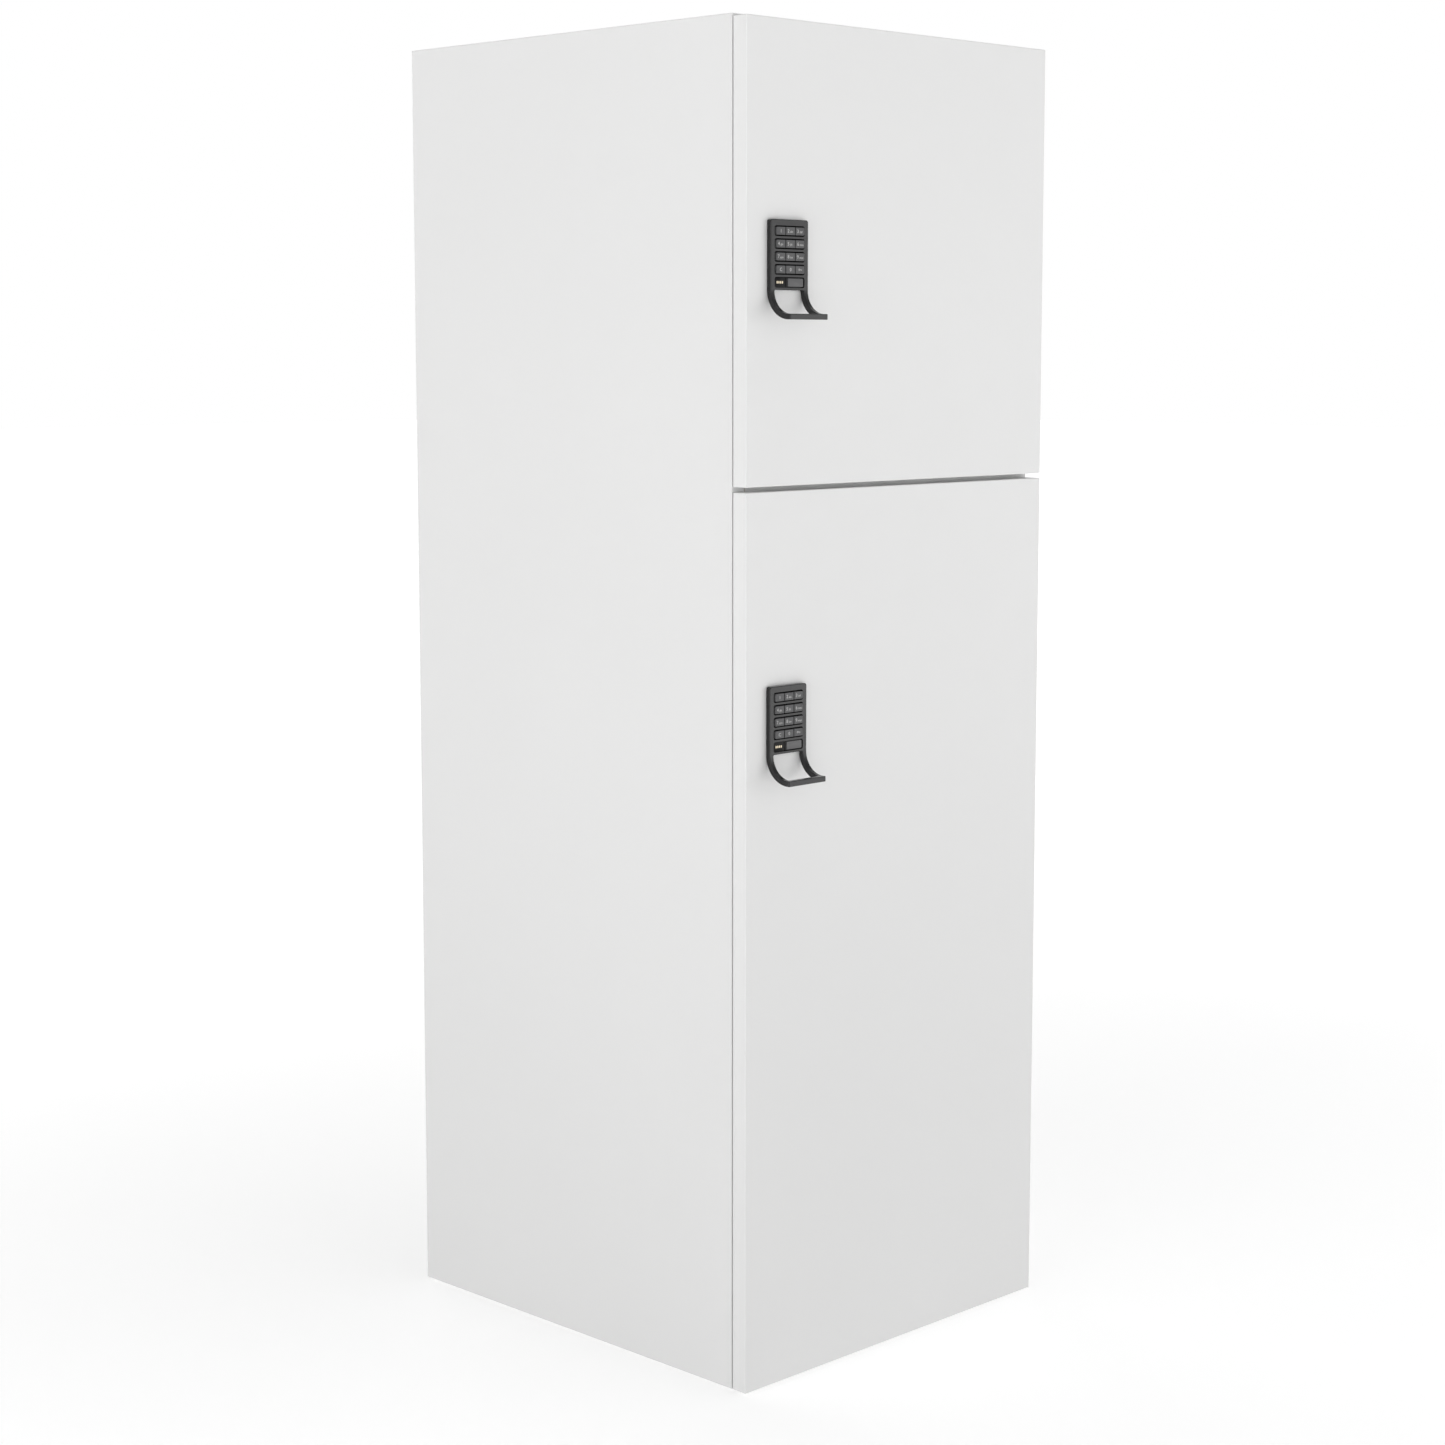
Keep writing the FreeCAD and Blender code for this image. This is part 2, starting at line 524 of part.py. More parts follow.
def lock_case(zt):
    za, zb = zt - 112.0, zt + 6.0
    y0, y1 = Y_DB, Y_DB + CASE_D
    s = box(CASE_X0, CASE_X1, y0, y1, za, zb)
    s = rounded(s, 5.0, along(s, "y"))
    s = rounded(s, 1.6, [e for e in s.Edges if all(abs(v.Y - y1) < 1e-6 for v in e.Vertexes)])
    hollow = box(CASE_X0 + 2.0, CASE_X1 - 2.0, y0 - 1.0, y1 - 2.0, za + 2.0, zb - 2.0)
    hollow = rounded(hollow, 3.2, along(hollow, "y"))
    s = s.cut(hollow)
    # screw columns
    for h in CASE_SCREW_H:
        s = s.fuse(cyl(3.2, (LXC, y0, zt - h), (LXC, y1 - 1.0, zt - h)))
    # ribs that guide the bolt
    zc = zt - 20.0
    for a, b in ((zc - 9.3, zc - 7.3), (zc + 7.3, zc + 9.3)):
        s = s.fuse(box(CASE_X0 + 1.0, CASE_X0 + 34.0, y0 + 3.0, y1 - 1.0, a, b))
    s = s.removeSplitter()
    # slot for the bolt
    s = s.cut(box(CASE_X0 - 1.0, CASE_X0 + 2.5, BOLT_Y0 - 0.2, BOLT_Y1 + 0.2, zc - 7.2, zc + 7.2))
    # battery opening
    op = box(CASE_X0 + 4.0, CASE_X1 - 4.0, y1 - 3.0, y1 + 1.0, zt - 103.6, zt - 48.0)
    s = s.cut(rounded(op, 2.0, along(op, "y")))
    for h in CASE_SCREW_H:
        s = s.cut(cyl(1.6, (LXC, y0 - 1.0, zt - h), (LXC, y1 + 1.0, zt - h)))
        s = s.cut(cyl(2.9, (LXC, y1 - 2.4, zt - h), (LXC, y1 + 1.0, zt - h)))
    return s.removeSplitter()


BOLT_Y0, BOLT_Y1 = Y_FRONT + 4.5, Y_FRONT + 12.5


def battery_cover(zt):
    y1 = Y_DB + CASE_D
    c = box(CASE_X0 + 4.2, CASE_X1 - 4.2, y1 - 1.9, y1, zt - 103.4, zt - 48.2)
    c = rounded(c, 1.8, along(c, "y"))
    # finger notch and three grip ribs
    c = c.cut(cyl(6.0, (LXC, y1 + 4.6, zt - 56.0), (LXC, y1 + 4.6, zt - 48.0)))
    for i in range(3):
        z = zt - 62.0 - 3.0 * i
        c = c.fuse(box(LXC - 8.0, LXC + 8.0, y1 - 0.5, y1 + 0.5, z - 0.5, z + 0.5))
    return c.removeSplitter()


def batteries(zt):
    out = []
    for x in (LXC - 10.0, LXC + 10.0):
        y = Y_DB + 12.2
        za, zb = zt - 101.5, zt - 52.5
        b = cyl(7.2, (x, y, za), (x, y, zb))
        b = rounded(b, 0.6, [e for e in b.Edges if e.Closed])
        out.append(b.fuse(cyl(2.7, (x, y, zb - 0.2), (x, y, zb + 1.3))).removeSplitter())
    return out


def lock_bolt(zt):
    zc = zt - 20.0
    b = box(CASE_X0 + 0.5, CASE_X0 + 38.0, BOLT_Y0, BOLT_Y1, zc - 7.0, zc + 7.0)
    b = rounded(b, 0.8, along(b, "x"))
    return rounded(b, 0.7, [e for e in b.Edges if all(abs(v.X - (CASE_X0 + 0.5)) < 1e-6 for v in e.Vertexes)])


def lock_screws(zt):
    out = []
    for x, h in HANDLE_SCREWS:
        # from the door's back into the plate
        out.append(pan_screw((x, Y_DB - 2.9, zt - h), (0, -1, 0), 1.25, 18.8, 2.8, 2.1))
    for h in CASE_SCREW_H:
        out.append(pan_screw((LXC, Y_DB + CASE_D - 2.4, zt - h), (0, -1, 0), 1.45, 33.0, 2.7, 1.9))
    return out


def lock_holes(zt):
    tools = []
    for x, h in HANDLE_SCREWS:
        tools.append(cyl(1.6, (x, Y_DF - 1.0, zt - h), (x, Y_DB + 1.0, zt - h)))
        tools.append(cyl(3.1, (x, Y_DB - 2.9, zt - h), (x, Y_DB + 1.0, zt - h)))
    for h in CASE_SCREW_H:
        tools.append(cyl(1.5, (LXC, Y_DB - 12.2, zt - h), (LXC, Y_DB + 1.0, zt - h)))
    tools.append(cyl(6.0, (LXC, Y_DF - 1.0, zt - 36.0), (LXC, Y_DB + 1.0, zt - 36.0)))
    return tools


def door_panel(zr, zt, hinges):
    p = rounded(box(X0, X1, Y_DF, Y_DB, zr[0], zr[1]), DOOR_R)
    tools = lock_holes(zt)
    for zh in hinges:
        tools += cup_pocket(zh)
    return cut_all(p, tools)


# -------------------------------------------------------------------- output
save("left_side_panel", side_panel(True))
save("right_side_panel", side_panel(False))
save("top_panel", shelf_panel(Z1 - 9.0))
save("bottom_panel", cut_all(shelf_panel(Z0 + 9.0), glide_holes()))
save("divider_panel", shelf_panel(ZS))
save("back_panel", back_panel())
save("floor_glides", glides())
save("cam_fittings", fittings())
save("strike_plates", [strike(UPPER_LOCK - 20.0), strike(LOWER_LOCK - 20.0)])
save("hinge_mounting_plates", [mounting_plate(z) for z in ALL_HINGES])
save("hinge_arms", [hinge_arm(z) for z in ALL_HINGES])

screws = []
for x, z in BACK_SCREWS:
    screws.append(wood_screw((x, Y_BACK - 0.25, z), (x, Y_BACK - BACK_T - 14.5, z), 1.25, 3.3, 2.0))
for zb in (UPPER_LOCK - 20.0, LOWER_LOCK - 20.0):
    for dz in (-11.0, 11.0):
        screws.append(pan_screw((XL + 1.5, STRIKE_SCREW_Y, zb + dz), (-1, 0, 0), 1.9, 13.0, 3.5, 1.6))
for zh in ALL_HINGES:
    for dz in (-16.0, 16.0):
        screws.append(pan_screw((XR - 2.0, ny(-37.0), zh + dz), (1, 0, 0), 3.0, 13.0, 4.6, 1.9))
    for n in ARM_SCREW_N:
        screws.append(pan_screw((sx(27.0), ny(n), zh), (1, 0, 0), 2.0, 7.4, 3.4, 1.8))
save("carcass_screws", screws)

for name, zr, zt, hinges in (("upper", UPPER_DOOR, UPPER_LOCK, UPPER_HINGES),
                             ("lower", LOWER_DOOR, LOWER_LOCK, LOWER_HINGES)):
    save(name + "_door_panel", door_panel(zr, zt, hinges))
    save(name + "_hinge_cups", [hinge_cup(z) for z in hinges])
    cup_sc = []
    for z in hinges:
        cup_sc += cup_screws(z)
    save(name + "_cup_screws", cup_sc)
    pins = []
    for z in hinges:
        pins += hinge_pins(z)
    save(name + "_hinge_pins", pins)
    save(name + "_lock_handle", lock_handle(zt))
    save(name + "_keypad_mat", keypad_mat(zt))
    save(name + "_display_window", display_window(zt))
    save(name + "_lock_case", lock_case(zt))
    save(name + "_battery_cover", battery_cover(zt))
    save(name + "_batteries", batteries(zt))
    save(name + "_lock_bolt", lock_bolt(zt))
    save(name + "_lock_screws", lock_screws(zt))
    labels = ["1", "2", "3", "4", "5", "6", "7", "8", "9", "clear", "0", "enter"]
    for i, lab in enumerate(labels):
        save("%s_key_%s" % (name, lab), key_cap(zt, i // 3, i % 3))

print("carcass front y %.2f, door face y %.2f, back y %.2f, locks top z %.1f %.1f" % (
    Y_FRONT, Y_DF, Y_BACK, UPPER_LOCK, LOWER_LOCK))
print("hinge pin (%.2f, %.2f)" % (sx(PIN[0]), ny(PIN[1])))
print("hinges z", ALL_HINGES, "bolt y", BOLT_Y0, BOLT_Y1, "case x", CASE_X0, CASE_X1)
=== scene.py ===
import json
import math

import bmesh
import bpy
from mathutils import Matrix, Vector


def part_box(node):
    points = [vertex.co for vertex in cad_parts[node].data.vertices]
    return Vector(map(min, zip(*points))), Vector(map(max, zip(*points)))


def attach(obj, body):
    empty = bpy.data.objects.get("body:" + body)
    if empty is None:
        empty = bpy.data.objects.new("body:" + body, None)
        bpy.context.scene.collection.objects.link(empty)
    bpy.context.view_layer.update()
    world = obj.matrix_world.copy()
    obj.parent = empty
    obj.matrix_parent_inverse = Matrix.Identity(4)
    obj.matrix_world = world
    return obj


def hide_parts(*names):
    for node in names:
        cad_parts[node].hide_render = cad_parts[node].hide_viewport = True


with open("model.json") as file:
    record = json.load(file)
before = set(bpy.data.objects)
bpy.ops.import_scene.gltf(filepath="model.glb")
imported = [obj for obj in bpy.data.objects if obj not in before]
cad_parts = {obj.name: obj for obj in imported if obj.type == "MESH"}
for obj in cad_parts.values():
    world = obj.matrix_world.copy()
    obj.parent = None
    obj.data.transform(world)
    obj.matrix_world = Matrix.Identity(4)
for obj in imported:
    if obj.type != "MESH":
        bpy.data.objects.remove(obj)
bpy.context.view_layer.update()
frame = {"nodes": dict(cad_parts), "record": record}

NODES = frame["nodes"]
scene = bpy.context.scene
MM = 0.001
PLATE_T = 0.0055


# ------------------------------------------------------------------ materials
def new_mat(name):
    m = bpy.data.materials.new(name)
    m.use_nodes = True
    t = m.node_tree
    t.nodes.clear()
    out = t.nodes.new("ShaderNodeOutputMaterial")
    b = t.nodes.new("ShaderNodeBsdfPrincipled")
    t.links.new(b.outputs[0], out.inputs[0])
    return m, t, b


def noise(t, vec, scale, detail=3.0, rough=0.55, dist=0.0):
    n = t.nodes.new("ShaderNodeTexNoise")
    n.inputs["Scale"].default_value = scale
    n.inputs["Detail"].default_value = detail
    n.inputs["Roughness"].default_value = rough
    n.inputs["Distortion"].default_value = dist
    t.links.new(vec, n.inputs["Vector"])
    return n.outputs["Fac"]


def obj_coords(t, stretch=None):
    tc = t.nodes.new("ShaderNodeTexCoord")
    if stretch is None:
        return tc.outputs["Object"]
    mp = t.nodes.new("ShaderNodeMapping")
    mp.inputs["Scale"].default_value = stretch
    t.links.new(tc.outputs["Object"], mp.inputs["Vector"])
    return mp.outputs["Vector"]


def ranged(t, fac, lo, hi, a=0.3, b=0.7):
    r = t.nodes.new("ShaderNodeMapRange")
    r.inputs["From Min"].default_value = a
    r.inputs["From Max"].default_value = b
    r.inputs["To Min"].default_value = lo
    r.inputs["To Max"].default_value = hi
    t.links.new(fac, r.inputs["Value"])
    return r.outputs["Result"]


def mixed(t, fac, c1, c2, mode="MIX"):
    m = t.nodes.new("ShaderNodeMix")
    m.data_type = "RGBA"
    m.blend_type = mode
    for sock, c in ((m.inputs[6], c1), (m.inputs[7], c2)):
        if isinstance(c, (tuple, list)):
            sock.default_value = (*c, 1.0) if len(c) == 3 else c
        else:
            t.links.new(c, sock)
    if isinstance(fac, (int, float)):
        m.inputs[0].default_value = fac
    else:
        t.links.new(fac, m.inputs[0])
    return m.outputs[2]


def bump(t, b, height, strength, distance, chain=None):
    n = t.nodes.new("ShaderNodeBump")
    n.inputs["Strength"].default_value = strength
    n.inputs["Distance"].default_value = distance
    t.links.new(height, n.inputs["Height"])
    if chain is not None:
        t.links.new(chain, n.inputs["Normal"])
    t.links.new(n.outputs["Normal"], b.inputs["Normal"])
    return n.outputs["Normal"]


def shade(v, k):
    return tuple(max(0.0, min(1.0, x * k)) for x in v)


def surface(name, base, rough, metallic=0.0, spec=0.5, var=0.03, var_scale=9.0, rough_var=0.04,
            grain=1200.0, grain_k=0.10, grain_d=0.00004, wave=None, stretch=None, coat=0.0, edge=None,
            ior=None):
    """A material with broad tone variation, a fine grain in its relief and its gloss."""
    m, t, b = new_mat(name)
    b.inputs["Metallic"].default_value = metallic
    b.inputs["Specular IOR Level"].default_value = spec
    if coat:
        b.inputs["Coat Weight"].default_value = coat
        b.inputs["Coat Roughness"].default_value = 0.12
    if ior:
        b.inputs["IOR"].default_value = ior
    co = obj_coords(t)
    broad = noise(t, co, var_scale, 4.0)
    col = mixed(t, ranged(t, broad, 0.0, 1.0), shade(base, 1.0 - var), shade(base, 1.0 + var))
    fine = noise(t, obj_coords(t, stretch), grain, 2.0, 0.6)
    col = mixed(t, ranged(t, fine, 0.0, 0.35), col, shade(base, 1.0 - 2.2 * var))
    if edge is not None:
        # painted highlight: convex edges, found by pointiness, are painted in the given edge colour, which on the
        # keys is lighter than the key
        g = t.nodes.new("ShaderNodeNewGeometry")
        col = mixed(t, ranged(t, g.outputs["Pointiness"], 0.0, edge[1], 0.52, 0.60), col, edge[0])
    t.links.new(col, b.inputs["Base Color"])
    t.links.new(ranged(t, noise(t, co, var_scale * 5, 5.0), rough - rough_var, rough + rough_var), b.inputs["Roughness"])
    nrm = None
    if wave is not None:
        nrm = bump(t, b, noise(t, co, wave[0], 2.0), wave[1], wave[2])
    bump(t, b, fine, grain_k, grain_d, nrm)
    return m


def board_material(node, thin, banded):
    """White melamine board. Its faces have a fine pearl texture. The banded edges are smoother ABS
    edging 1 mm thick, whose glue line shows as a hairline 1 mm inside the face, and the edges
    without a band are bare chipboard. thin is the axis across the board."""
    lo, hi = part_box(node)
    m, t, b = new_mat("melamine_" + node)
    b.inputs["Specular IOR Level"].default_value = 0.42
    co = obj_coords(t)
    sep = t.nodes.new("ShaderNodeSeparateXYZ")
    t.links.new(co, sep.inputs[0])

    def op(kind, p, q):
        n = t.nodes.new("ShaderNodeMath")
        n.operation = kind
        for sock, v in ((n.inputs[0], p), (n.inputs[1], q)):
            if isinstance(v, (int, float)):
                sock.default_value = v
            else:
                t.links.new(v, sock)
        return n.outputs[0]
    # distance in from the nearest banded edge, and from the nearest bare edge
    near = {True: None, False: None}
    for i, ax in enumerate("XYZ"):
        if i == thin:
            continue
        for side in (0, 1):
            d = (op("SUBTRACT", sep.outputs[ax], lo[i]) if side == 0
                 else op("SUBTRACT", hi[i], sep.outputs[ax]))
            k = (ax.lower() + "-+"[side]) in banded
            near[k] = d if near[k] is None else op("MINIMUM", near[k], d)
    band = op("LESS_THAN", near[True], 0.00100)
    line = op("MULTIPLY", op("GREATER_THAN", near[True], 0.00094), op("LESS_THAN", near[True], 0.00106))
    base = (0.775, 0.775, 0.772)
    col = mixed(t, ranged(t, noise(t, co, 3.2, 4.0), 0.0, 1.0), shade(base, 0.990), shade(base, 1.008))
    pearl = noise(t, co, 950.0, 3.0, 0.62)
    col = mixed(t, ranged(t, pearl, 0.0, 0.5), col, shade(base, 0.975))
    scale = [900.0, 900.0, 900.0]
    scale[2 if thin != 2 else 0] = 6.0
    run = noise(t, obj_coords(t, tuple(scale)), 1.0, 3.0, 0.6)
    abs_col = mixed(t, ranged(t, run, 0.0, 1.0), shade(base, 1.000), shade(base, 1.022))
    col = mixed(t, band, col, abs_col)
    col = mixed(t, line, col, shade(base, 0.87))
    rough = ranged(t, noise(t, co, 26.0, 5.0), 0.40, 0.50)
    rr = t.nodes.new("ShaderNodeMix")
    rr.data_type = "FLOAT"
    t.links.new(band, rr.inputs[0])
    t.links.new(rough, rr.inputs[2])
    t.links.new(ranged(t, noise(t, co, 40.0, 4.0), 0.30, 0.38), rr.inputs[3])
    gloss = rr.outputs[0]
    height = op("ADD", op("MULTIPLY", pearl, op("SUBTRACT", 1.0, band)), op("MULTIPLY", run, op("MULTIPLY", band, 0.35)))
    if near[False] is not None:
        bare = op("LESS_THAN", near[False], 0.00004)
        chips = noise(t, co, 520.0, 6.0, 0.72, 0.8)
        wood = mixed(t, ranged(t, chips, 0.0, 1.0, 0.36, 0.64), (0.30, 0.20, 0.115), (0.62, 0.46, 0.29))
        col = mixed(t, bare, col, wood)
        r2 = t.nodes.new("ShaderNodeMix")
        r2.data_type = "FLOAT"
        t.links.new(bare, r2.inputs[0])
        t.links.new(gloss, r2.inputs[2])
        r2.inputs[3].default_value = 0.85
        gloss = r2.outputs[0]
        height = op("ADD", height, op("MULTIPLY", chips, op("MULTIPLY", bare, 3.0)))
    t.links.new(col, b.inputs["Base Color"])
    t.links.new(gloss, b.inputs["Roughness"])
    n1 = bump(t, b, noise(t, co, 210.0, 2.0), 0.06, 0.00010)
    bump(t, b, height, 0.16, 0.00005, n1)
    return m


def back_material():
    m, t, b = new_mat("white_fibreboard")
    co = obj_coords(t)
    base = (0.755, 0.752, 0.742)
    fibre = noise(t, obj_coords(t, (1.0, 1.0, 0.35)), 420.0, 5.0, 0.7, 0.6)
    col = mixed(t, ranged(t, noise(t, co, 4.0, 5.0), 0.0, 1.0), shade(base, 0.975), shade(base, 1.01))
    col = mixed(t, ranged(t, fibre, 0.0, 0.55), col, shade(base, 0.955))
    t.links.new(col, b.inputs["Base Color"])
    t.links.new(ranged(t, fibre, 0.50, 0.64), b.inputs["Roughness"])
    bump(t, b, fibre, 0.18, 0.00007)
    return m


def metal_material(name, base, rough, stretch=None, grain=900.0, spot=0.05, bump_k=0.06, wave=None):
    m, t, b = new_mat(name)
    b.inputs["Metallic"].default_value = 1.0
    co = obj_coords(t)
    streak = noise(t, obj_coords(t, stretch), grain, 3.0, 0.6)
    cloud = noise(t, co, 60.0, 5.0, 0.6)
    col = mixed(t, ranged(t, cloud, 0.0, 1.0), shade(base, 1.0 - spot), shade(base, 1.0 + spot))
    col = mixed(t, ranged(t, streak, 0.0, 0.4), col, shade(base, 0.90))
    t.links.new(col, b.inputs["Base Color"])
    t.links.new(ranged(t, streak, rough - 0.06, rough + 0.08), b.inputs["Roughness"])
    nrm = bump(t, b, noise(t, co, wave[0], 2.0), wave[1], wave[2]) if wave else None
    bump(t, b, streak, bump_k, 0.00003, nrm)
    return m


def battery_material(zones):
    """Printed sleeve in two plain tones, with a bright rim at the ends."""
    m, t, b = new_mat("battery_sleeve")
    tc = t.nodes.new("ShaderNodeTexCoord")
    sep = t.nodes.new("ShaderNodeSeparateXYZ")
    t.links.new(tc.outputs["Object"], sep.inputs[0])
    z = sep.outputs["Z"]

    def above(v):
        n = t.nodes.new("ShaderNodeMath")
        n.operation = "GREATER_THAN"
        n.inputs[1].default_value = v
        t.links.new(z, n.inputs[0])
        return n.outputs[0]
    co = obj_coords(t)
    grey = mixed(t, ranged(t, noise(t, co, 300.0, 3.0), 0.0, 1.0), (0.15, 0.17, 0.21), (0.18, 0.20, 0.245))
    gold = mixed(t, ranged(t, noise(t, co, 300.0, 3.0), 0.0, 1.0), (0.52, 0.36, 0.14), (0.60, 0.42, 0.18))
    col = grey
    metal = None
    for za, zb in zones:
        # copper-toned band at the positive end, plain metal above the sleeve
        band, tip = above(zb - 0.0125), above(zb - 0.0011)
        stop = above(zb + 0.010)
        inv = t.nodes.new("ShaderNodeMath"); inv.operation = "SUBTRACT"
        inv.inputs[0].default_value = 1.0
        t.links.new(stop, inv.inputs[1])
        both = t.nodes.new("ShaderNodeMath"); both.operation = "MULTIPLY"
        t.links.new(band, both.inputs[0]); t.links.new(inv.outputs[0], both.inputs[1])
        col = mixed(t, both.outputs[0], col, gold)
        both2 = t.nodes.new("ShaderNodeMath"); both2.operation = "MULTIPLY"
        t.links.new(tip, both2.inputs[0]); t.links.new(inv.outputs[0], both2.inputs[1])
        col = mixed(t, both2.outputs[0], col, (0.62, 0.62, 0.62))
        if metal is None:
            metal = both2.outputs[0]
        else:
            s = t.nodes.new("ShaderNodeMath"); s.operation = "MAXIMUM"
            t.links.new(metal, s.inputs[0]); t.links.new(both2.outputs[0], s.inputs[1])
            metal = s.outputs[0]
    t.links.new(col, b.inputs["Base Color"])
    t.links.new(metal, b.inputs["Metallic"])
    t.links.new(ranged(t, noise(t, co, 80.0, 4.0), 0.28, 0.38), b.inputs["Roughness"])
    bump(t, b, noise(t, co, 500.0, 2.0), 0.06, 0.00004)
    return m


def glow_material(name, colour, strength):
    m, t, b = new_mat(name)
    co = obj_coords(t)
    c = mixed(t, ranged(t, noise(t, co, 1500.0, 2.0), 0.0, 1.0), shade(colour, 0.92), colour)
    t.links.new(mixed(t, 0.7, c, (0.03, 0.03, 0.03)), b.inputs["Base Color"])
    t.links.new(c, b.inputs["Emission Color"])
    b.inputs["Emission Strength"].default_value = strength
    b.inputs["Roughness"].default_value = 0.25
    return m


# front plane of the lock plates, one plate thickness (5.5 mm) out from the door face
PLATE_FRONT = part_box("upper_door_panel")[0].y - PLATE_T


def housing_material():
    """Satin black paint on a zinc casting. Inside the keypad windows the walls and the floor are flat near-black,
    the keys' dark surround together with painted shade of the recess, and the outer corners carry a painted
    highlight."""
    m, t, b = new_mat("satin_black_housing")
    co = obj_coords(t)
    base = (0.0150, 0.0150, 0.0154)
    broad = noise(t, co, 55.0, 4.0)
    col = mixed(t, ranged(t, broad, 0.0, 1.0), shade(base, 0.93), shade(base, 1.07))
    fine = noise(t, co, 2600.0, 2.0, 0.6)
    col = mixed(t, ranged(t, fine, 0.0, 0.35), col, shade(base, 0.86))
    g = t.nodes.new("ShaderNodeNewGeometry")
    # painted highlight: the outer corners, found by pointiness, are painted a lighter grey
    corner_highlight = ranged(t, g.outputs["Pointiness"], 0.0, 0.5, 0.52, 0.60)
    col = mixed(t, corner_highlight, col, (0.040, 0.040, 0.041))
    sep = t.nodes.new("ShaderNodeSeparateXYZ")
    t.links.new(co, sep.inputs[0])

    def op(kind, a, c):
        n = t.nodes.new("ShaderNodeMath")
        n.operation = kind
        for sock, v in ((n.inputs[0], a), (n.inputs[1], c)):
            if isinstance(v, (int, float)):
                sock.default_value = v
            else:
                t.links.new(v, sock)
        return n.outputs[0]
    # a point belongs to the well of the windows when it is behind the front and inside their block
    inside = 0.0
    for lock in ("upper", "lower"):
        lo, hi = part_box(lock + "_display_window")
        k_lo, k_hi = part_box(lock + "_key_1")
        part = op("GREATER_THAN", sep.outputs["X"], lo.x - 0.0006)
        part = op("MULTIPLY", part, op("LESS_THAN", sep.outputs["X"], hi.x + 0.0006))
        part = op("MULTIPLY", part, op("GREATER_THAN", sep.outputs["Z"], lo.z - 0.0006))
        part = op("MULTIPLY", part, op("LESS_THAN", sep.outputs["Z"], k_hi.z + 0.0016))
        part = op("MULTIPLY", part, op("GREATER_THAN", sep.outputs["Y"], PLATE_FRONT + 0.00035))
        inside = part if inside == 0.0 else op("MAXIMUM", inside, part)
    # painted shade: the walls and floor of the keypad wells are painted flat near-black, partly the keys' dark
    # surround and partly shade of the recess
    col = mixed(t, inside, col, (0.0022, 0.0022, 0.0022))
    t.links.new(col, b.inputs["Base Color"])
    b.inputs["Specular IOR Level"].default_value = 0.36
    gloss = ranged(t, noise(t, co, 260.0, 5.0), 0.17, 0.25)
    rr = t.nodes.new("ShaderNodeMix")
    rr.data_type = "FLOAT"
    t.links.new(inside, rr.inputs[0])
    t.links.new(gloss, rr.inputs[2])
    rr.inputs[3].default_value = 0.9
    t.links.new(rr.outputs[0], b.inputs["Roughness"])
    bump(t, b, fine, 0.28, 0.00005)
    return m


M = {
    "back": back_material(),
    "nylon": surface("white_nylon", (0.74, 0.74, 0.72), 0.48, spec=0.45, var=0.02, grain=700, grain_k=0.12),
    "housing": housing_material(),
    # the keys' edge colour is a painted highlight along their convex edges
    "key": surface("grey_key", (0.076, 0.076, 0.078), 0.46, spec=0.32, var=0.05, var_scale=120.0,
                   grain=3200.0, grain_k=0.25, grain_d=0.00003, edge=((0.115, 0.115, 0.117), 0.5)),
    "rubber": surface("black_silicone", (0.004, 0.004, 0.004), 0.75, spec=0.12, var=0.08, var_scale=80.0,
                      grain=2000.0, grain_k=0.2),
    "window": surface("black_window", (0.003, 0.003, 0.003), 0.12, spec=0.10, var=0.05, var_scale=50.0,
                      rough_var=0.03, grain=900.0, grain_k=0.02),
    "case": surface("black_case_plastic", (0.024, 0.024, 0.026), 0.56, spec=0.5, var=0.06, var_scale=30.0,
                    grain=1100.0, grain_k=0.85, grain_d=0.00012, wave=(90.0, 0.05, 0.0002)),
    "nickel": metal_material("nickel_plated_steel", (0.66, 0.645, 0.615), 0.24, (1.0, 1.0, 0.08), 700.0,
                             wave=(70.0, 0.05, 0.0002)),
    "zinc": metal_material("die_cast_zinc", (0.56, 0.56, 0.565), 0.40, None, 600.0, 0.08, 0.14, wave=(140.0, 0.08, 0.0002)),
    "screw": metal_material("bright_zinc_plate", (0.60, 0.61, 0.635), 0.27, None, 1500.0, 0.06, 0.08),
    "pin": metal_material("ground_steel", (0.68, 0.68, 0.68), 0.20, (1.0, 1.0, 0.05), 1500.0, 0.03, 0.05),
    "bolt": metal_material("nickel_plated_bolt", (0.60, 0.595, 0.585), 0.30, (0.04, 1.0, 1.0), 4200.0, 0.04, 0.05),
    "legend": surface("legend_ink", (0.50, 0.50, 0.49), 0.55, spec=0.35, var=0.05, var_scale=300.0, grain=4000.0, grain_k=0.1),
    "plate": surface("blank_plate", (0.098, 0.098, 0.100), 0.36, metallic=0.25, spec=0.4, var=0.05, var_scale=120.0,
                     grain=1800.0, grain_k=0.16, stretch=(0.12, 1.0, 1.0)),
    "pipe": surface("dark_divider", (0.009, 0.009, 0.0093), 0.42, spec=0.14, var=0.05, var_scale=200.0, grain=2500.0, grain_k=0.15),
    "led": glow_material("warm_led", (1.0, 0.86, 0.62), 0.62),
}
_bz = []
for _n in ("lower", "upper"):
    _lo, _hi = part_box(_n + "_batteries")
    _bz.append((_lo.z, _hi.z))
M["battery"] = battery_material(_bz)

SLOT = {"white_back_board": "back", "white_nylon": "nylon", "zinc_fitting": "zinc",
        "nickel_steel": "nickel", "zinc_screw": "screw", "pin_steel": "pin", "bolt_steel": "bolt",
        "black_housing": "housing", "black_rubber": "rubber", "black_window": "window", "black_case": "case",
        "battery_sleeve": "battery", "key_grey": "key"}
